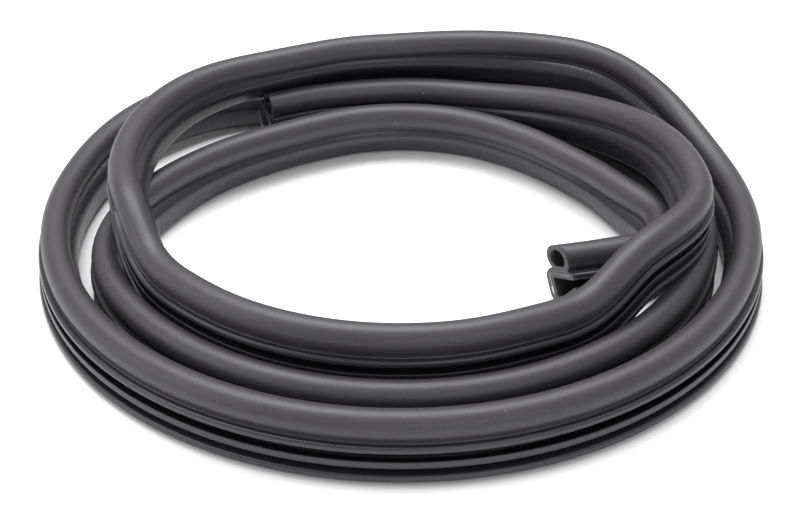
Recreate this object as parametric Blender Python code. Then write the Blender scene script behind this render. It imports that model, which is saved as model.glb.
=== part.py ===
"""Cabinet joining seal: one length of rubber clip and bulb profile, laid in a loose coil.

Metres, +Z up, the coil lying on the floor. The section is drawn once and swept along the coil.
"""

import math

import bmesh
import bpy
from mathutils import Matrix, Vector
from mathutils.geometry import tessellate_polygon

# Sizes of the section, in metres
SEAL_OD = 0.0100            # outer diameter of the hollow bulb
SEAL_WALL = 0.0016          # wall of the bulb
CLIP_DEPTH = 0.0136         # clip, from its closed spine to its lips
CLIP_HEIGHT = 0.0122        # clip, from its foot to the bulb
ARM = 0.0025                # thickness of each arm of the clip, rubber and steel together
SPINE_WALL = 0.0034         # thickness of the closed spine
SPINE_ROUND = 0.0036        # rounding of the closed spine
LIP_ROUND = 0.0008          # rounding of the lips
BULB_OFFSET = 0.00095       # how far the bulb stands towards the lips from the clip's middle
BULB_SINK = 0.0005          # how deep the bulb's circle runs into the clip
STEEL = 0.0005              # thickness of the steel carrier inside the clip's wall
STEEL_GAP = 0.0003          # gap between the carrier and the rubber round it
LAY_GAP = 0.0003            # least gap between two turns of the coil

# Sizes of the coil
STEP = 12.0                 # degrees between two sections of the sweep
FREE_END = 8.0              # degrees where the even steps begin, the free end having its own places
CUT_SLANT = 24.0            # degrees in plan between the near cut and a square cut

# Sizes that follow from those above
BULB_R = SEAL_OD / 2
BULB_V = CLIP_HEIGHT + BULB_R - BULB_SINK
NEST = CLIP_HEIGHT + 1.5 * LAY_GAP
STACK = BULB_V + BULB_R + 2.5 * LAY_GAP
SIDE_BY_SIDE = CLIP_DEPTH + LAY_GAP
TUCKED = BULB_R + CLIP_DEPTH / 2 - BULB_OFFSET + LAY_GAP
PITCH = max(SIDE_BY_SIDE, 1.24 * TUCKED)

# The route, by eye from the outside of the coil. Each place holds the degrees round the coil from
# the right, anticlockwise seen from above, the bulb's distance from the centre in turns laid side
# by side, the level (0 on the floor, 1 on a neighbour's clip, 2 on its bulb) and the lean.
ROUTE = (
    (-32.7, 4.568, 0.0, 23), (-24.4, 5.374, 0.0, 23), (-21.4, 5.755, 0.0, 20), (-18.4, 6.158, 0.0, 14),
    (-13.2, 6.604, 0.0, 5), (-7.2, 6.691, 0.0, 2), (-2.2, 6.583, 0.0, 4), (3.5, 6.209, 0.0, 12),
    (12, 5.719, 0.0, 22), (20, 5.468, 0.0, 27), (32, 5.18, 0.0, 30), (56, 4.993, 0.0, 31),
    (90, 4.986, 0.0, 31), (116, 4.978, 0.0, 30), (128, 5.072, 0.0, 30), (140, 5.324, 0.0, 27),
    (152, 5.719, 0.0, 22), (164, 6.223, 0.0, 14), (176, 6.835, 0.0, 6), (188, 7.374, 0.0, 2),
    (200, 7.698, 0.0, 0), (212, 7.777, 0.0, 0), (225, 7.77, 0.0, 0), (270, 7.77, 0.0, 0),
    (345, 7.741, 0.0, 0), (368, 7.727, 0.0, 0), (380, 7.64, 0.0, 0), (392, 7.475, 0.0, 0),
    (404, 7.403, 0.0, 1), (416, 7.345, 0.0, 5), (450, 7.266, 0.0, 8), (464, 7.482, 0.0, 6),
    (476, 7.914, 0.0, 4), (488, 8.417, 0.12, 2), (500, 8.719, 0.24, 0), (515, 8.892, 0.16, 2),
    (535, 8.885, 0.0, 4), (560, 8.813, 0.0, 6), (630, 8.791, 0.0, 8), (700, 8.827, 0.0, 6),
    (715, 8.842, 0.0, 3), (728, 8.82, 0.06, 0), (740, 8.719, 0.36, 0), (752, 8.576, 0.99, 0),
    (764, 8.022, 1.87, 0), (776, 7.41, 2.02, 6), (788, 6.871, 2.01, 22), (800, 6.532, 2.01, 34),
    (812, 6.353, 2.01, 41), (840, 6.309, 2.01, 42), (855, 6.64, 2.01, 34), (868, 6.871, 2.01, 24),
    (880, 6.978, 2.01, 13), (896, 7.007, 2.02, 4), (908, 7.007, 2.02, 0), (920, 6.964, 2.02, 0),
    (932, 6.964, 1.1, 0), (944, 6.978, 1.02, 0), (1028, 6.942, 1.02, 0), (1040, 6.986, 1.8, 0),
    (1052, 7.266, 2.01, 0), (1064, 7.504, 2.02, 0), (1076, 7.216, 2.02, 4), (1088, 6.921, 1.82, 8),
    (1100, 6.64, 1.51, 12), (1112, 6.353, 1.18, 17), (1124, 6.151, 0.89, 25), (1136, 6.029, 0.65, 32),
    (1148, 5.942, 0.49, 37), (1160, 5.878, 0.46, 38), (1180, 5.827, 0.46, 38), (1199, 6.007, 0.46, 36),
    (1212, 6.187, 0.46, 35),
)


def clear_scene():
    for obj in list(bpy.data.objects):
        bpy.data.objects.remove(obj, do_unlink=True)


def arc(centre, radius, first, last, count):
    """Points of an arc, both ends included, with angles in degrees."""
    points = []
    for i in range(count):
        a = math.radians(first + (last - first) * i / (count - 1))
        points.append((centre[0] + radius * math.cos(a), centre[1] + radius * math.sin(a)))
    return points


def skin_outline():
    """The outside of the rubber: the bulb, the lips, the mouth with its fin, the foot and the spine."""
    spine = -CLIP_DEPTH / 2
    lips = CLIP_DEPTH / 2
    roof = CLIP_HEIGHT - ARM
    mouth = roof - ARM
    back = spine + SPINE_WALL
    tip = lips - LIP_ROUND / 3
    fin_low = ARM + 0.31 * mouth
    fin_high = ARM + 0.67 * mouth
    points = arc((BULB_OFFSET, BULB_V), BULB_R, 222, -42, 12)
    points += [(lips - 1.9 * LIP_ROUND, CLIP_HEIGHT), (lips - LIP_ROUND, CLIP_HEIGHT)]
    points += [(lips, CLIP_HEIGHT - LIP_ROUND), (lips, roof + LIP_ROUND), (lips - LIP_ROUND, roof)]
    points += [(back + LIP_ROUND, roof), (back, roof - LIP_ROUND), (back, ARM + LIP_ROUND)]
    points += [(back + LIP_ROUND, ARM), (back + 0.12 * CLIP_DEPTH, ARM)]
    points += [(tip - LIP_ROUND, fin_high), (tip, fin_high - LIP_ROUND)]
    points += [(tip, fin_low + LIP_ROUND), (tip - LIP_ROUND, fin_low)]
    points += [(back + 0.42 * CLIP_DEPTH, ARM), (lips - LIP_ROUND, ARM)]
    points += [(lips, ARM - LIP_ROUND), (lips, LIP_ROUND), (lips - LIP_ROUND, 0.0)]
    corner = spine + SPINE_ROUND
    points += arc((corner, SPINE_ROUND), SPINE_ROUND, 270, 180, 4)
    points += arc((corner, CLIP_HEIGHT - SPINE_ROUND), SPINE_ROUND, 180, 90, 4)
    return points


def bore_outline():
    """The hollow of the bulb, with a flat floor on top of the clip."""
    return arc((BULB_OFFSET, BULB_V), BULB_R - SEAL_WALL, 232, -52, 9)


def carrier_outline(half):
    """A thin U inside the clip's wall, closed round the spine, this far to each side of its middle."""
    spine = -CLIP_DEPTH / 2 + SPINE_WALL / 2
    end = CLIP_DEPTH / 2 - LIP_ROUND - ARM / 2 + (half - STEEL / 2)
    low = ARM / 2
    high = CLIP_HEIGHT - ARM / 2
    outer = [(end, high + half), (spine - half, high + half), (spine - half, low - half), (end, low - half)]
    inner = [(end, low + half), (spine + half, low + half), (spine + half, high - half), (end, high - half)]
    return outer + inner


def slope(rows, i, column):
    """The rate of change at one place of the route, kept flat at a local high or low."""
    if i == 0 or i == len(rows) - 1:
        return 0.0
    before = (rows[i][column] - rows[i - 1][column]) / (rows[i][0] - rows[i - 1][0])
    after = (rows[i + 1][column] - rows[i][column]) / (rows[i + 1][0] - rows[i][0])
    if before * after <= 0.0:
        return 0.0
    return 2.0 * before * after / (before + after)


def at(degrees, column):
    """One column of the route at this angle, smooth between the places."""
    i = 0
    while i < len(ROUTE) - 2 and ROUTE[i + 1][0] < degrees:
        i += 1
    span = ROUTE[i + 1][0] - ROUTE[i][0]
    s = min(max((degrees - ROUTE[i][0]) / span, 0.0), 1.0)
    a = ROUTE[i][column]
    b = ROUTE[i + 1][column]
    ma = slope(ROUTE, i, column) * span
    mb = slope(ROUTE, i + 1, column) * span
    rise = (3.0 - 2.0 * s) * s * s
    return a + (b - a) * rise + ma * s * (1.0 - s) ** 2 - mb * s * s * (1.0 - s)


def stations():
    """One frame for each section: the bulb's place, outward direction, foot height and lean."""
    angles = [row[0] for row in ROUTE if row[0] < FREE_END]
    angles += [FREE_END + k * STEP for k in range(int((ROUTE[-1][0] - FREE_END) / STEP + 0.5) + 1)]
    places = []
    for degrees in angles:
        a = math.radians(degrees)
        r = at(degrees, 1) * PITCH
        level = at(degrees, 2)
        foot = min(level, 1.0) * NEST + max(level - 1.0, 0.0) * (STACK - NEST)
        places.append((Vector((r * math.cos(a), r * math.sin(a), 0.0)), foot, math.radians(at(degrees, 3))))
    frames = []
    for k, (place, foot, lean) in enumerate(places):
        along = Vector((0.0, 0.0, 0.0))
        if k > 0:
            along += (place - places[k - 1][0]).normalized()
        if k < len(places) - 1:
            along += (places[k + 1][0] - place).normalized()
        along.normalize()
        slant = math.tan(math.radians(CUT_SLANT)) if k == 0 else 0.0
        frames.append((place, along, foot, lean, slant))
    return frames


def placed(outline, frame, skin):
    """An outline set into its frame, with the skin's lowest point at the foot's height."""
    place, along, foot, lean, slant = frame
    out = Vector((along.y, -along.x, 0.0))
    c = math.cos(lean)
    s = math.sin(lean)
    lowest = min((u - BULB_OFFSET) * s + (v - BULB_V) * c for u, v in skin)
    points = []
    for u, v in outline:
        x = (u - BULB_OFFSET) * c - (v - BULB_V) * s
        z = (u - BULB_OFFSET) * s + (v - BULB_V) * c - lowest + foot
        points.append(place + out * x + along * (x * slant) + Vector((0.0, 0.0, z)))
    return points


def sweep(name, outlines, frames, skin, material):
    """One closed body: the outlines swept through the frames, with flat cuts at both ends."""
    bm = bmesh.new()
    rings = []
    for frame in frames:
        rings.append([[bm.verts.new(p) for p in placed(outline, frame, skin)] for outline in outlines])
    for first, second in zip(rings, rings[1:]):
        for a, b in zip(first, second):
            for i in range(len(a)):
                j = (i + 1) % len(a)
                bm.faces.new((a[i], a[j], b[j], b[i]))
    # Turned and in millimetres, as the tessellation drops faces beside upright edges and merges close points.
    turn = Matrix.Rotation(0.3, 3, "Z")
    flat = [[turn @ Vector((1000.0 * u, 1000.0 * v, 0.0)) for u, v in outline] for outline in outlines]
    for ring in (rings[0], rings[-1]):
        corners = [vert for loop in ring for vert in loop]
        for triple in tessellate_polygon(flat):
            bm.faces.new([corners[i] for i in triple])
    bmesh.ops.recalc_face_normals(bm, faces=bm.faces)
    if bm.calc_volume(signed=True) < 0.0:
        bmesh.ops.reverse_faces(bm, faces=bm.faces)
    mesh = bpy.data.meshes.new(name)
    bm.to_mesh(mesh)
    bm.free()
    obj = bpy.data.objects.new(name, mesh)
    bpy.context.collection.objects.link(obj)
    mesh.materials.append(material)
    return obj


def material(name, colour, metallic, roughness):
    made = bpy.data.materials.new(name)
    made.use_nodes = True
    shader = made.node_tree.nodes["Principled BSDF"]
    shader.inputs["Base Color"].default_value = (*colour, 1.0)
    shader.inputs["Metallic"].default_value = metallic
    shader.inputs["Roughness"].default_value = roughness
    made.diffuse_color = (*colour, 1.0)
    return made


def centre_on_floor(objects):
    """Moves the meshes so that the middle of their box is at the origin and their foot at zero."""
    points = [v.co for obj in objects for v in obj.data.vertices]
    shift = Vector((
        -(min(p.x for p in points) + max(p.x for p in points)) / 2,
        -(min(p.y for p in points) + max(p.y for p in points)) / 2,
        -min(p.z for p in points),
    ))
    for obj in objects:
        for v in obj.data.vertices:
            v.co = v.co + shift


def main():
    clear_scene()
    rubber = material("rubber", (0.040, 0.037, 0.043), 0.0, 0.55)
    steel = material("steel", (0.55, 0.55, 0.57), 1.0, 0.35)
    frames = stations()
    skin = skin_outline()
    slot = carrier_outline(STEEL / 2 + STEEL_GAP)
    profile = sweep("seal_profile", [skin, bore_outline(), slot], frames, skin, rubber)
    carrier = sweep("steel_carrier", [carrier_outline(STEEL / 2)], frames, skin, steel)
    centre_on_floor([profile, carrier])


main()
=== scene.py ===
"""Cabinet joining seal: a smooth rubber profile and its steel strip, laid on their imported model."""

import math

import bmesh
import bpy
import numpy as np
from bpy.props import FloatProperty, FloatVectorProperty, PointerProperty
from mathutils import Matrix, Vector


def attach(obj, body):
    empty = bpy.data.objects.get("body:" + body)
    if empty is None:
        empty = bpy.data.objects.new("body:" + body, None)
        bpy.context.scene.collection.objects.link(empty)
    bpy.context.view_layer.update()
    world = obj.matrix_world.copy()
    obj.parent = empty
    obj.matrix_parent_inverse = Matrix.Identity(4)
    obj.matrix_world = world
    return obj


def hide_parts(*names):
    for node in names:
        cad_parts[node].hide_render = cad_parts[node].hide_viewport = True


bl_info = {
    "name": "Cabinet Joining Seal",
    "version": (1, 0, 0),
    "blender": (4, 5, 0),
    "location": "3D View > Sidebar > Joining Seal",
    "description": "Sweeps a bulb and clip seal along its coil and finishes its rubber, steel and stage",
    "category": "Object",
}

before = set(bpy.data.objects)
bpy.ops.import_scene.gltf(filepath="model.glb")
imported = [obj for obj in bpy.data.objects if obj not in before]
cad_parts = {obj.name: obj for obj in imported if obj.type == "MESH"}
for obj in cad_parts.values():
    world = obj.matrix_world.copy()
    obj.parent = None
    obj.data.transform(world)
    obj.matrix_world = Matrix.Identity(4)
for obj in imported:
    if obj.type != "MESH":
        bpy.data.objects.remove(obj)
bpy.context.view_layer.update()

# Where the coil's polar centre lies in the part's own frame.
COIL_CENTRE = Vector((0.000474, 0.010555, 0.0))
# The bulb's centre lies this far to the lips' side of the clip's middle, and its lowest point this far
# below the clip's top.
BULB_OFFSET = 0.00095
BULB_SINK = 0.0005
# Thickness of the clip's closed side.
SPINE_WALL = 0.0034
# Space left between turns that lie together, and the spacing of turns laid side by side.
LAY_GAP = 0.0003
PITCH = 0.0139
# Stations stand at every row of the route up to this angle, then at equal steps, in degrees. The fair
# curve through them has this many parts between two stations.
FREE_END = 8.0
TURN_STEP = 12.0
FAIR_PARTS = 5
# Degrees, first and last, of the bulb's outside and of its bore, with the number of points on each.
BULB_ARC = (222, -42, 45)
BORE_ARC = (232, -52, 21)
# The fin's lower and upper edge at the mouth, and the ends of its root, as shares of mouth and depth.
FIN_EDGES = (0.31, 0.67)
FIN_ROOT = (0.12, 0.42)
# How far the fin's tip stays behind the lips, and how far it leans.
FIN_BACK = 0.0003
FIN_LEAN = 0.0001
# How far the upper lip begins behind the lips, and how far its edge drops.
LIP_START = 0.0021
LIP_DROP = 0.0001
# Rounding of the fin and of the inner corners, and of the steel strip's outer and inner bends.
FIN_ROUND = 0.0006
HEEL_ROUND = 0.0004
CORE_ROUND = (0.0011, 0.0006)
# Zones of the section, about the bulb's centre: where the spine begins, and the mouth's two ranges, inside
# which the rubber gets near-black painted shade.
SPINE_BEGINS = -0.0045
MOUTH_UP = (-0.014, -0.0068)
MOUTH_ACROSS = (-0.005, 0.0035)
# How near a point lies to a plane or corner to count as on it.
ON_PLANE = 1e-5
ON_CORNER = 1e-6
# How far along the seal from each end its cut may take faces.
CUT_REACH = 0.040
# How far the steel stands out of the cut, so that its ends show.
STEEL_PROUD = 0.00008

# The studio: the floor's size, how far it lies below the part, and the world's strength.
FLOOR_SIZE = 6.0
FLOOR_DROP = 0.00002
WORLD_STRENGTH = 0.66
# Each light's name, place, width, depth and power as a share of the overhead light's.
LIGHTS = (
    ("overhead", (-0.05, 0.30, 0.95), 1.1, 0.6, 1.0),
    ("left_fill", (-1.1, -0.3, 0.6), 0.8, 0.8, 0.25),
    ("front_fill", (0.5, -1.2, 0.7), 0.8, 0.6, 0.2),
)
# The camera fitted to the photograph: its place from the coil's centre, and its shift.
CAMERA_FROM_CENTRE = Vector((0.0, -0.4688, 0.3064))
CAMERA_SHIFT = (-0.00145, -0.0168)

# The bulb's route: degrees round the coil, distance out in turns laid side by side, level (0 on the
# floor, 1 on a neighbour's clip, 2 on its bulb) and lean in degrees.
ROUTE = (
    (-32.7, 4.568, 0.0, 23), (-24.4, 5.374, 0.0, 23), (-21.4, 5.755, 0.0, 20), (-18.4, 6.158, 0.0, 14),
    (-13.2, 6.604, 0.0, 5), (-7.2, 6.691, 0.0, 2), (-2.2, 6.583, 0.0, 4), (3.5, 6.209, 0.0, 12),
    (12, 5.719, 0.0, 22), (20, 5.468, 0.0, 27), (32, 5.18, 0.0, 30), (56, 4.993, 0.0, 31),
    (90, 4.986, 0.0, 31), (116, 4.978, 0.0, 30), (128, 5.072, 0.0, 30), (140, 5.324, 0.0, 27),
    (152, 5.719, 0.0, 22), (164, 6.223, 0.0, 14), (176, 6.835, 0.0, 6), (188, 7.374, 0.0, 2),
    (200, 7.698, 0.0, 0), (212, 7.777, 0.0, 0), (225, 7.77, 0.0, 0), (270, 7.77, 0.0, 0),
    (345, 7.741, 0.0, 0), (368, 7.727, 0.0, 0), (380, 7.64, 0.0, 0), (392, 7.475, 0.0, 0),
    (404, 7.403, 0.0, 1), (416, 7.345, 0.0, 5), (450, 7.266, 0.0, 8), (464, 7.482, 0.0, 6),
    (476, 7.914, 0.0, 4), (488, 8.417, 0.12, 2), (500, 8.719, 0.24, 0), (515, 8.892, 0.16, 2),
    (535, 8.885, 0.0, 4), (560, 8.813, 0.0, 6), (630, 8.791, 0.0, 8), (700, 8.827, 0.0, 6),
    (715, 8.842, 0.0, 3), (728, 8.82, 0.06, 0), (740, 8.719, 0.36, 0), (752, 8.576, 0.99, 0),
    (764, 8.022, 1.87, 0), (776, 7.41, 2.02, 6), (788, 6.871, 2.01, 22), (800, 6.532, 2.01, 34),
    (812, 6.353, 2.01, 41), (840, 6.309, 2.01, 42), (855, 6.64, 2.01, 34), (868, 6.871, 2.01, 24),
    (880, 6.978, 2.01, 13), (896, 7.007, 2.02, 4), (908, 7.007, 2.02, 0), (920, 6.964, 2.02, 0),
    (932, 6.964, 1.1, 0), (944, 6.978, 1.02, 0), (1028, 6.942, 1.02, 0), (1040, 6.986, 1.8, 0),
    (1052, 7.266, 2.01, 0), (1064, 7.504, 2.02, 0), (1076, 7.216, 2.02, 4), (1088, 6.921, 1.82, 8),
    (1100, 6.64, 1.51, 12), (1112, 6.353, 1.18, 17), (1124, 6.151, 0.89, 25), (1136, 6.029, 0.65, 32),
    (1148, 5.942, 0.49, 37), (1160, 5.878, 0.46, 38), (1180, 5.827, 0.46, 38), (1199, 6.007, 0.46, 36),
    (1212, 6.187, 0.46, 35),
)


class SealSizes(bpy.types.PropertyGroup):
    """Sizes of the seal's section and finish."""

    bulb_diameter: FloatProperty(
        name="Bulb Diameter", description="Outer diameter of the hollow bulb", default=0.0100, unit="LENGTH"
    )
    bulb_wall: FloatProperty(
        name="Bulb Wall", description="Thickness of the bulb's wall", default=0.0016, unit="LENGTH"
    )
    clip_depth: FloatProperty(
        name="Clip Depth", description="From the closed spine to the lips", default=0.0136, unit="LENGTH"
    )
    clip_height: FloatProperty(
        name="Clip Height", description="From the foot to the bulb", default=0.0122, unit="LENGTH"
    )
    arm: FloatProperty(
        name="Arm", description="Thickness of each arm of the clip", default=0.0025, unit="LENGTH"
    )
    lip_round: FloatProperty(
        name="Lip Rounding", description="Radius along each lip", default=0.0009, unit="LENGTH"
    )
    spine_round: FloatProperty(
        name="Spine Rounding", description="Radius of the closed spine", default=0.0036, unit="LENGTH"
    )
    core_thickness: FloatProperty(
        name="Core Thickness", description="Thickness of the steel strip", default=0.0005, unit="LENGTH"
    )
    core_pitch: FloatProperty(
        name="Core Pitch", description="Spacing of the steel core's slits", default=0.0043, unit="LENGTH"
    )
    cut_slant: FloatProperty(
        name="Cut Slant",
        description="Angle of the near cut from square, seen from above",
        default=math.radians(24),
        subtype="ANGLE",
    )
    rubber: FloatVectorProperty(
        name="Rubber", description="Colour of the rubber", default=(0.032, 0.0295, 0.0365), subtype="COLOR"
    )
    steel: FloatVectorProperty(
        name="Steel", description="Colour of the steel core", default=(0.62, 0.62, 0.64), subtype="COLOR"
    )


class StageSizes(bpy.types.PropertyGroup):
    """Light, floor and camera."""

    floor: FloatVectorProperty(
        name="Floor", description="Colour of the floor", default=(0.96, 0.96, 0.965), subtype="COLOR"
    )
    overhead: FloatProperty(
        name="Overhead Light", description="Power of the soft light above, in watts", default=15.0
    )
    lens: FloatProperty(name="Lens", description="Focal length in millimetres", default=68.6)


class Socket:
    """An output socket whose sums and products add Math nodes."""

    def __init__(self, shader, output):
        self.shader = shader
        self.output = output

    def _math(self, operation, first, second):
        return self.shader.node("ShaderNodeMath", {"operation": operation}, [first, second])

    def __add__(self, other):
        return self._math("ADD", self, other)

    __radd__ = __add__

    def __sub__(self, other):
        return self._math("SUBTRACT", self, other)

    def __rsub__(self, other):
        return self._math("SUBTRACT", other, self)

    def __mul__(self, other):
        return self._math("MULTIPLY", self, other)

    __rmul__ = __mul__

    def above(self, edge, softness):
        """0 below the edge, 1 above it, with a soft step between."""
        return self.shader.node(
            "ShaderNodeMapRange",
            {"interpolation_type": "SMOOTHSTEP"},
            {"Value": self, "From Min": edge - softness / 2, "From Max": edge + softness / 2},
        )


class Shader:
    """A new material, with one method that makes every node in it."""

    def __init__(self, name):
        self.material = bpy.data.materials.new(name)
        self.material.use_nodes = True
        self.tree = self.material.node_tree
        self.surface = self.tree.nodes["Principled BSDF"]

    def node(self, kind, settings=None, values=None, output=0):
        """Adds a node, sets its settings and then its sockets, and returns one of its outputs."""
        made = self.tree.nodes.new(kind)
        for key, value in (settings or {}).items():
            setattr(made, key, value)
        pairs = values.items() if isinstance(values, dict) else enumerate(values or ())
        for key, value in pairs:
            self.feed(made.inputs[key], value)
        return Socket(self, made.outputs[output])

    def feed(self, target, value):
        if isinstance(value, Socket):
            self.tree.links.new(value.output, target)
        else:
            target.default_value = value

    def mix(self, factor, first, second):
        """A mix of two colours."""
        return self.node(
            "ShaderNodeMix",
            {"data_type": "RGBA"},
            {0: factor, 6: first, 7: second},
            output=2,
        )

    def bump(self, height):
        """A normal that follows this height in metres."""
        return self.node("ShaderNodeBump", {}, {"Strength": 1.0, "Distance": 1.0, "Height": height})

    def noise(self, size, detail=2.0, rough=0.5):
        """Noise whose features are about this many metres across, from 0 to 1."""
        where = self.node("ShaderNodeTexCoord", output=3)
        return self.node(
            "ShaderNodeTexNoise",
            {},
            {"Vector": where, "Scale": 1.0 / size, "Detail": detail, "Roughness": rough},
        )

    def finish(self, **sockets):
        for name, value in sockets.items():
            self.feed(self.surface.inputs[name.replace("_", " ")], value)
        return self.material


def shade(colour, factor):
    """A colour made lighter or darker, with its alpha."""
    return (colour[0] * factor, colour[1] * factor, colour[2] * factor, 1.0)


def rubber_material(sizes):
    """Charcoal rubber: a mottled bulb, a glossier clip, a spine that shows the core's slits, and painted
    shade that makes the mouth and bore near black.
    """
    s = Shader("seal_rubber")
    zones = s.node("ShaderNodeAttribute", {"attribute_name": "zones"})
    bulb = s.node("ShaderNodeSeparateColor", {}, {"Color": zones})
    spine = Socket(s, bulb.output.node.outputs["Green"])
    # Blue marks the mouth and bore, where painted shade goes.
    inside = Socket(s, bulb.output.node.outputs["Blue"])
    run = s.node("ShaderNodeAttribute", {"attribute_name": "run"}, output=2)
    peel = s.noise(0.0009, 2.0, 0.6)
    grain = s.noise(0.00035, 2.0, 0.6)
    cloud = s.noise(0.012, 3.0, 0.55)
    smear = s.noise(0.045, 2.0, 0.5)
    wave = s.node("ShaderNodeMath", {"operation": "SINE"}, [run * (2.0 * math.pi / sizes.core_pitch)])
    slits = wave.above(0.72, 0.4) * spine
    flecks = s.node(
        "ShaderNodeTexVoronoi",
        {"feature": "F1"},
        {"Vector": s.node("ShaderNodeTexCoord", output=3), "Scale": 95.0},
    )
    speck_distance = Socket(s, flecks.output.node.outputs["Distance"])
    speck_choice = s.node(
        "ShaderNodeSeparateColor", {}, {"Color": Socket(s, flecks.output.node.outputs["Color"])}
    )
    dust = (1.0 - speck_distance.above(0.026, 0.02)) * speck_choice.above(0.72, 0.02)
    c = sizes.rubber
    tone = s.mix(cloud, shade(c, 0.80), shade(c, 1.18))
    tone = s.mix(peel.above(0.52, 0.35) * bulb * 0.6, tone, shade(c, 1.35))
    tone = s.mix(grain.above(0.60, 0.2) * bulb * 0.4, tone, shade(c, 0.65))
    tone = s.mix((1.0 - bulb) * 0.6, tone, shade(c, 0.45))
    tone = s.mix(slits * 0.12, tone, shade(c, 0.3))
    tone = s.mix(dust * 0.8, tone, (0.42, 0.41, 0.42, 1.0))
    # Painted shade: the mouth and bore made near black.
    tone = s.mix(inside * 0.85, tone, (0.006, 0.006, 0.007, 1.0))
    rough = 0.24 + bulb * 0.14 + cloud * 0.08 + smear * 0.10 + dust * 0.2 + inside * 0.2
    height = peel * bulb * 0.00003 + grain * 0.00001 - slits * 0.00003 + cloud * 0.00005 + dust * 0.00006
    return s.finish(Base_Color=tone, Roughness=rough, Normal=s.bump(height))


def cut_material(sizes):
    """The knife's cut: closed clip rubber with fine pores, a little lighter and glossier."""
    s = Shader("seal_cut")
    pores = s.noise(0.0004, 3.0, 0.6)
    drag = s.noise(0.0025, 2.0, 0.5)
    c = sizes.rubber
    tone = s.mix(drag, shade(c, 0.95), shade(c, 1.5))
    tone = s.mix(pores.above(0.58, 0.15) * 0.7, tone, shade(c, 0.35))
    height = pores * -0.00008 + drag * 0.00012
    return s.finish(Base_Color=tone, Roughness=0.32 + pores * 0.2, Normal=s.bump(height))


def steel_material(sizes, name="core_steel", smear=0.0):
    """Cut steel strip: bright, with a faint grain, and this much rubber smeared over it in patches."""
    s = Shader(name)
    grain = s.noise(0.0002, 3.0, 0.6)
    film = s.noise(0.0015, 2.0, 0.5)
    tone = s.mix(film, shade(sizes.steel, 0.75), shade(sizes.steel, 1.15))
    smeared = (1.0 - s.noise(0.0035, 1.0, 0.5).above(0.56, 0.08)) * smear
    tone = s.mix(smeared, tone, shade(sizes.rubber, 1.2))
    rough = 0.22 + film * 0.2
    return s.finish(
        Base_Color=tone, Metallic=1.0 - smeared, Roughness=rough, Normal=s.bump(grain * 0.00002)
    )


def floor_material(colour):
    """Pale matt floor with a trace of unevenness."""
    s = Shader("studio_floor")
    cloud = s.noise(0.3, 2.0, 0.5)
    tone = s.mix(cloud, shade(colour, 0.985), shade(colour, 1.0))
    return s.finish(Base_Color=tone, Roughness=0.7 + cloud * 0.05)


def alone(obj):
    """Selects this object and nothing else."""
    bpy.ops.object.select_all(action="DESELECT")
    obj.select_set(True)
    bpy.context.view_layer.objects.active = obj


def edit_selecting(obj, kind, chosen):
    """Opens edit mode with just the vertices, edges or faces for which chosen(element) is true."""
    alone(obj)
    bpy.ops.object.mode_set(mode="EDIT")
    bpy.ops.mesh.select_mode(type=kind)
    bpy.ops.mesh.select_all(action="DESELECT")
    mesh = bmesh.from_edit_mesh(obj.data)
    elements = {"VERT": mesh.verts, "EDGE": mesh.edges, "FACE": mesh.faces}[kind]
    found = [element for element in elements if chosen(element)]
    if not found:
        raise RuntimeError(f"{obj.name}: nothing to select for this step")
    for element in found:
        element.select_set(True)
    mesh.select_flush_mode()
    bmesh.update_edit_mesh(obj.data)


def arc(radius, first, last, count):
    """Points of an arc about the origin, both ends included, with angles in degrees."""
    angles = (math.radians(first + (last - first) * i / (count - 1)) for i in range(count))
    return [(radius * math.cos(a), radius * math.sin(a)) for a in angles]


def drawn(name, points, rounds=()):
    """A closed outline about the bulb's centre, with each named corner rounded, as a curve to sweep."""
    bpy.ops.object.select_all(action="DESELECT")
    bpy.ops.mesh.primitive_circle_add(vertices=len(points), radius=0.01, fill_type="NGON")
    obj = bpy.context.object
    obj.name = name
    for vertex, (u, v) in zip(obj.data.vertices, points):
        vertex.co = (u, v, 0.0)
    for radius, segments, corners in rounds:
        edit_selecting(obj, "VERT", lambda v: any((v.co.xy - Vector(c)).length < ON_CORNER for c in corners))
        bpy.ops.mesh.bevel(offset=radius, segments=segments, affect="VERTICES")
        bpy.ops.object.mode_set(mode="OBJECT")
    edit_selecting(obj, "FACE", lambda f: True)
    bpy.ops.mesh.delete(type="ONLY_FACE")
    bpy.ops.object.mode_set(mode="OBJECT")
    bpy.ops.object.convert(target="CURVE")
    return bpy.context.object


def section(sizes):
    """The seal's section as swept: the bulb on the clip, the mouth and its fin, and the bore."""
    bulb = sizes.bulb_diameter / 2
    high = sizes.clip_height + bulb - BULB_SINK
    spine = -sizes.clip_depth / 2
    lips = sizes.clip_depth / 2
    arm = sizes.arm
    roof = sizes.clip_height - arm
    mouth = roof - arm
    back = spine + SPINE_WALL
    fin_low, fin_high = (arm + share * mouth for share in FIN_EDGES)
    root_back, root_front = (back + share * sizes.clip_depth for share in FIN_ROOT)
    tip = lips - FIN_BACK
    ends = [
        (lips - LIP_START, sizes.clip_height),
        (lips, sizes.clip_height - LIP_DROP),
        (lips, roof),
        (back, roof),
        (back, arm),
        (root_back, arm),
        (tip, fin_high),
        (tip - FIN_LEAN, fin_low),
        (root_front, arm),
        (lips, arm),
        (lips, 0.0),
        (spine, 0.0),
        (spine, sizes.clip_height),
    ]
    about = [(u - BULB_OFFSET, v - high) for u, v in ends]
    outline = arc(bulb, *BULB_ARC) + about
    lip = [about[i] for i in (1, 2, 9, 10)]
    fin = [about[i] for i in (3, 4, 6, 7)]
    heel = [about[i] for i in (0, 5, 8)]
    rounds = (
        (sizes.spine_round, 9, about[11:13]),
        (sizes.lip_round, 5, lip),
        (FIN_ROUND, 4, fin),
        (HEEL_ROUND, 3, heel),
    )
    skin = drawn("section_skin", outline, rounds)
    bore = drawn("section_bore", arc(bulb - sizes.bulb_wall, *BORE_ARC))
    bpy.ops.object.select_all(action="DESELECT")
    bore.select_set(True)
    skin.select_set(True)
    bpy.context.view_layer.objects.active = skin
    bpy.ops.object.join()
    return skin


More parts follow.
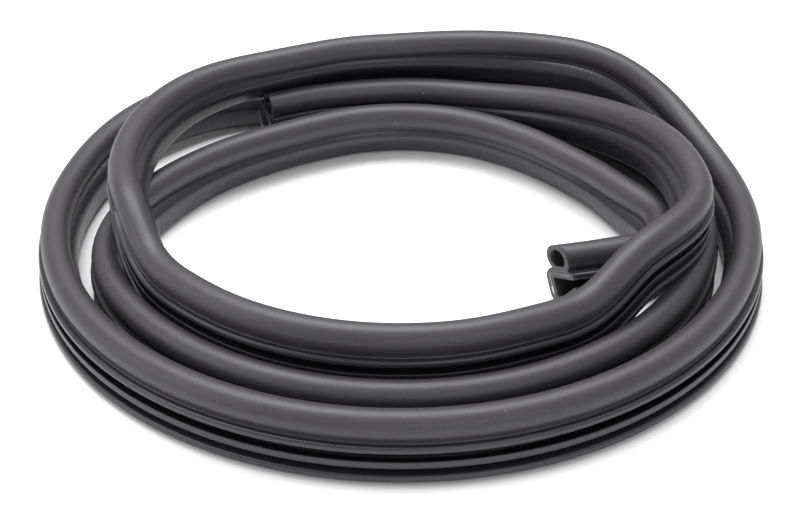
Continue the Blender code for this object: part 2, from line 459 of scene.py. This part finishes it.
def core_section(sizes):
    """The steel strip's U inside the clip's wall, as a curve to sweep."""
    half = sizes.core_thickness / 2
    spine = (SPINE_WALL - sizes.clip_depth) / 2
    end = (sizes.clip_depth - sizes.arm) / 2 - sizes.lip_round
    low = sizes.arm / 2
    high = sizes.clip_height - low
    across = (end, spine - half, spine - half, end, end, spine + half, spine + half, end)
    up = (high + half,) * 2 + (low - half,) * 2 + (low + half,) * 2 + (high - half,) * 2
    rise = sizes.clip_height + sizes.bulb_diameter / 2 - BULB_SINK
    points = [(u - BULB_OFFSET, v - rise) for u, v in zip(across, up)]
    outside, within = CORE_ROUND
    return drawn("section_core", points, ((outside, 4, points[1:3]), (within, 4, points[5:7])))


def slope(column, i):
    """The rate of change at one place of the route, kept flat at a local high or low."""
    if i == 0 or i == len(ROUTE) - 1:
        return 0.0
    before = (ROUTE[i][column] - ROUTE[i - 1][column]) / (ROUTE[i][0] - ROUTE[i - 1][0])
    after = (ROUTE[i + 1][column] - ROUTE[i][column]) / (ROUTE[i + 1][0] - ROUTE[i][0])
    if before * after <= 0.0:
        return 0.0
    return 2.0 * before * after / (before + after)


def at(degrees, column):
    """One column of the route at this angle, smooth between the places."""
    i = max(k for k in range(len(ROUTE) - 1) if k == 0 or ROUTE[k][0] < degrees)
    span = ROUTE[i + 1][0] - ROUTE[i][0]
    t = min(max((degrees - ROUTE[i][0]) / span, 0.0), 1.0)
    a = ROUTE[i][column]
    b = ROUTE[i + 1][column]
    ease = (3.0 - 2.0 * t) * t * t
    bow = slope(column, i) * span * t * (1.0 - t) ** 2
    bow -= slope(column, i + 1) * span * t * t * (1.0 - t)
    return a + (b - a) * ease + bow


def fair(places, parts):
    """A smooth curve through every row of places, with this many parts between neighbours."""
    count = len(places)
    steps = np.linalg.norm(np.diff(places[:, :3], axis=0), axis=1)
    rows = np.zeros((count, count))
    right = np.zeros_like(places)
    rows[0, 0] = rows[-1, -1] = 1.0
    for i in range(1, count - 1):
        before, after = steps[i - 1], steps[i]
        rows[i, i - 1 : i + 2] = before, 2.0 * (before + after), after
        right[i] = 6.0 * ((places[i + 1] - places[i]) / after - (places[i] - places[i - 1]) / before)
    bend = np.linalg.solve(rows, right)
    found = []
    for i in range(count - 1):
        h = steps[i]
        for t in np.arange(parts) / parts:
            a, b = 1.0 - t, t
            found.append(
                a * places[i]
                + b * places[i + 1]
                + ((a**3 - a) * bend[i] + (b**3 - b) * bend[i + 1]) * h * h / 6.0
            )
    found.append(places[-1])
    return np.array(found)


def centre_line(sizes, skin):
    """Points of the bulb's centre with the lean of the section, from past one cut to past the other."""
    bulb = sizes.bulb_diameter / 2
    stack = sizes.clip_height - BULB_SINK + sizes.bulb_diameter + 2.5 * LAY_GAP
    nest = sizes.clip_height + 1.5 * LAY_GAP
    corners = [(p.co.x, p.co.y) for p in skin.data.splines[0].points]
    angles = [row[0] for row in ROUTE if row[0] < FREE_END]
    angles += list(np.arange(FREE_END, ROUTE[-1][0] + 0.5 * TURN_STEP, TURN_STEP))
    places = []
    for degrees in angles:
        around = math.radians(degrees)
        out = at(degrees, 1) * PITCH
        level = at(degrees, 2)
        lean = math.radians(at(degrees, 3))
        foot = min(level, 1.0) * nest + max(level - 1.0, 0.0) * (stack - nest)
        low = min(u * math.sin(lean) + v * math.cos(lean) for u, v in corners)
        centre = COIL_CENTRE + Vector((out * math.cos(around), out * math.sin(around), foot - low))
        places.append((*centre, lean))
    line = fair(np.array(places), FAIR_PARTS)
    step = line[0] - line[1]
    before = line[0] + step * (sizes.clip_depth / np.linalg.norm(step[:3]))
    step = line[-1] - line[-2]
    after = line[-1] + step * (bulb / np.linalg.norm(step[:3]))
    before[3], after[3] = line[0, 3], line[-1, 3]
    return np.vstack([before, line, after])


def swept(name, outline, line):
    """The outline swept along the line and made a mesh, with no caps."""
    bpy.ops.object.select_all(action="DESELECT")
    bpy.ops.curve.primitive_nurbs_path_add()
    path = bpy.context.object
    path.name = name
    bpy.ops.object.mode_set(mode="EDIT")
    bpy.ops.curve.select_all(action="SELECT")
    bpy.ops.curve.spline_type_set(type="POLY")
    bpy.ops.object.mode_set(mode="OBJECT")
    spline = path.data.splines[0]
    spline.points.add(len(line) - len(spline.points))
    for point, (x, y, z, lean) in zip(spline.points, line):
        point.co = (x, y, z, 1.0)
        point.tilt = -lean
    path.data.twist_mode = "Z_UP"
    path.data.bevel_mode = "OBJECT"
    path.data.bevel_object = outline
    path.data.use_fill_caps = False
    alone(path)
    bpy.ops.object.convert(target="MESH")
    obj = bpy.context.object
    obj.name = name
    obj.data.name = name
    return obj


def mark_run(obj, outline, line):
    """Stores how far along the seal each point of the sweep is."""
    steps = np.linalg.norm(np.diff(line[:, :3], axis=0), axis=1)
    along = np.concatenate([[0.0], np.cumsum(steps)])
    runs = np.concatenate([np.repeat(along, len(spline.points)) for spline in outline.data.splines])
    if len(runs) != len(obj.data.vertices):
        raise RuntimeError("the sweep has another number of points than its section and line give")
    run = obj.data.attributes.new("run", "FLOAT", "POINT")
    run.data.foreach_set("value", runs.astype(np.float32))


def mark_zones(obj, outline, line):
    """Stores each point's zone as a colour: red on the bulb, green on the spine, blue in the mouth and bore,
    where painted shade goes.
    """
    skin, bore = ([p.co for p in spline.points] for spline in outline.data.splines)
    reach = max(p.length for p in skin if p.y > -0.001) + 0.0002
    colours = []
    for p in skin:
        bulb = 1.0 if p.length < reach and p.y > -reach else 0.0
        spine = 1.0 if p.x < SPINE_BEGINS and bulb == 0.0 else 0.0
        # Points inside the mouth get painted shade.
        painted_shade_in_mouth = MOUTH_UP[0] < p.y < MOUTH_UP[1] and MOUTH_ACROSS[0] < p.x < MOUTH_ACROSS[1]
        colours.append((bulb, spine, float(painted_shade_in_mouth), 1.0))
    # Every point of the bore gets painted shade too.
    rows = colours * len(line) + [(0.0, 0.0, 1.0, 1.0)] * (len(bore) * len(line))
    zones = obj.data.attributes.new("zones", "FLOAT_COLOR", "POINT")
    zones.data.foreach_set("color", np.array(rows, np.float32).ravel())


def cut_end(obj, place, outwards, first, last):
    """Cuts this stretch of the sweep through place, takes off what is outside, and closes the cut."""
    run = obj.data.attributes["run"].data
    stretch = {i for i, value in enumerate(run) if first <= value.value <= last}
    edit_selecting(obj, "FACE", lambda f: all(v.index in stretch for v in f.verts))
    bpy.ops.mesh.bisect(
        plane_co=place, plane_no=outwards, clear_outer=True, use_fill=False, threshold=0.000001
    )
    bpy.ops.object.mode_set(mode="OBJECT")
    edit_selecting(
        obj,
        "EDGE",
        lambda e: e.is_boundary and all(abs((v.co - place).dot(outwards)) < ON_PLANE for v in e.verts),
    )
    bpy.ops.mesh.fill(use_beauty=True)
    bpy.ops.object.mode_set(mode="OBJECT")
    for polygon in obj.data.polygons:
        flat = abs(polygon.normal.dot(outwards)) > 0.999
        if flat and abs((polygon.center - place).dot(outwards)) < ON_PLANE:
            polygon.material_index = 1
            polygon.use_smooth = False


def cut_planes(sizes, line):
    """Where the two cuts are, and which way each faces."""
    planes = []
    for end, inner, slant in ((1, 2, sizes.cut_slant), (-2, -3, 0.0)):
        place = Vector(line[end, :3])
        outwards = Vector(line[end, :3] - line[inner, :3])
        outwards.z = 0.0
        outwards = Matrix.Rotation(slant, 3, "Z") @ outwards.normalized()
        planes.append((place, outwards))
    return planes


def cut_both_ends(obj, sizes, line, proud):
    """Cuts the sweep this far outside both ends of the seal and turns everything outwards."""
    whole = float(np.linalg.norm(np.diff(line[:, :3], axis=0), axis=1).sum())
    stretches = ((0.0, CUT_REACH), (whole - CUT_REACH, whole + 1.0))
    for (place, outwards), (first, last) in zip(cut_planes(sizes, line), stretches):
        cut_end(obj, place + outwards * proud, outwards, first, last)
    edit_selecting(obj, "FACE", lambda f: True)
    bpy.ops.mesh.normals_make_consistent(inside=False)
    bpy.ops.object.mode_set(mode="OBJECT")


class JOININGSEAL_OT_profile(bpy.types.Operator):
    """Sweep the rubber profile along the coil, cut both ends and finish the rubber"""

    bl_idname = "joiningseal.profile"
    bl_label = "Rubber Profile"

    def execute(self, context):
        sizes = context.scene.seal_sizes
        outline = section(sizes)
        line = centre_line(sizes, outline)
        seal = swept("rubber_profile", outline, line)
        mark_run(seal, outline, line)
        mark_zones(seal, outline, line)
        seal.data.materials.clear()
        seal.data.materials.append(rubber_material(sizes))
        seal.data.materials.append(cut_material(sizes))
        for polygon in seal.data.polygons:
            polygon.use_smooth = True
        cut_both_ends(seal, sizes, line, 0.0)
        bpy.data.objects.remove(outline, do_unlink=True)
        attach(seal, "root")
        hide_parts("seal_profile")
        return {"FINISHED"}


class JOININGSEAL_OT_core(bpy.types.Operator):
    """Sweep the steel strip inside the clip, with its bright ends in the cuts"""

    bl_idname = "joiningseal.core"
    bl_label = "Steel Core"

    def execute(self, context):
        sizes = context.scene.seal_sizes
        skin = section(sizes)
        outline = core_section(sizes)
        line = centre_line(sizes, skin)
        core = swept("steel_core", outline, line)
        mark_run(core, outline, line)
        core.data.materials.clear()
        core.data.materials.append(steel_material(sizes))
        core.data.materials.append(steel_material(sizes, "core_steel_cut", 0.9))
        cut_both_ends(core, sizes, line, STEEL_PROUD)
        bpy.data.objects.remove(skin, do_unlink=True)
        bpy.data.objects.remove(outline, do_unlink=True)
        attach(core, "root")
        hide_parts("steel_carrier")
        return {"FINISHED"}


class JOININGSEAL_OT_stage(bpy.types.Operator):
    """Lay the pale floor, hang the soft lights and set the camera"""

    bl_idname = "joiningseal.stage"
    bl_label = "Stage"

    def execute(self, context):
        stage = context.scene.seal_stage
        bpy.ops.object.select_all(action="DESELECT")
        bpy.ops.mesh.primitive_plane_add(size=FLOOR_SIZE, location=(0.0, 0.0, -FLOOR_DROP))
        floor = context.object
        floor.name = "studio_floor"
        floor.data.materials.append(floor_material(stage.floor))
        bpy.ops.object.transform_apply(location=True, rotation=True, scale=True)
        for name, place, width, depth, share in LIGHTS:
            self.add_light(name, place, width, depth, stage.overhead * share)
        world = bpy.data.worlds.new("studio_world")
        context.scene.world = world
        world.use_nodes = True
        background = world.node_tree.nodes["Background"]
        background.inputs["Color"].default_value = (1.0, 1.0, 1.0, 1.0)
        background.inputs["Strength"].default_value = WORLD_STRENGTH
        bpy.ops.object.camera_add(location=COIL_CENTRE + CAMERA_FROM_CENTRE)
        camera = context.object
        camera.name = "photo_camera"
        camera.rotation_euler = (COIL_CENTRE - camera.location).to_track_quat("-Z", "Y").to_euler()
        camera.data.sensor_width = 36.0
        camera.data.lens = stage.lens
        camera.data.shift_x, camera.data.shift_y = CAMERA_SHIFT
        camera.data.clip_start = 0.01
        camera.data.clip_end = 20.0
        camera.data.dof.use_dof = False
        context.scene.camera = camera
        context.scene.view_settings.view_transform = "Standard"
        return {"FINISHED"}

    def add_light(self, name, place, width, depth, power):
        """Hangs one area light that points at the origin."""
        bpy.ops.object.light_add(type="AREA", location=place)
        light = bpy.context.object
        light.name = name
        light.data.shape = "RECTANGLE"
        light.data.size = width
        light.data.size_y = depth
        light.data.energy = power
        light.rotation_euler = (-Vector(place)).to_track_quat("-Z", "Y").to_euler()


class JOININGSEAL_PT_panel(bpy.types.Panel):
    """The seal's sizes and its steps, in order"""

    bl_idname = "JOININGSEAL_PT_panel"
    bl_label = "Joining Seal"
    bl_space_type = "VIEW_3D"
    bl_region_type = "UI"
    bl_category = "Joining Seal"

    def draw(self, context):
        for group, steps in (
            (context.scene.seal_sizes, (JOININGSEAL_OT_profile, JOININGSEAL_OT_core)),
            (context.scene.seal_stage, (JOININGSEAL_OT_stage,)),
        ):
            box = self.layout.box()
            for name in group.__annotations__:
                box.prop(group, name)
            for step in steps:
                box.operator(step.bl_idname)


CLASSES = (
    SealSizes,
    StageSizes,
    JOININGSEAL_OT_profile,
    JOININGSEAL_OT_core,
    JOININGSEAL_OT_stage,
    JOININGSEAL_PT_panel,
)


def register():
    for cls in CLASSES:
        bpy.utils.register_class(cls)
    bpy.types.Scene.seal_sizes = PointerProperty(type=SealSizes)
    bpy.types.Scene.seal_stage = PointerProperty(type=StageSizes)


def unregister():
    del bpy.types.Scene.seal_stage
    del bpy.types.Scene.seal_sizes
    for cls in reversed(CLASSES):
        bpy.utils.unregister_class(cls)


def main():
    register()
    bpy.ops.joiningseal.profile()
    bpy.ops.joiningseal.core()
    bpy.ops.joiningseal.stage()


if __name__ == "__main__":
    main()
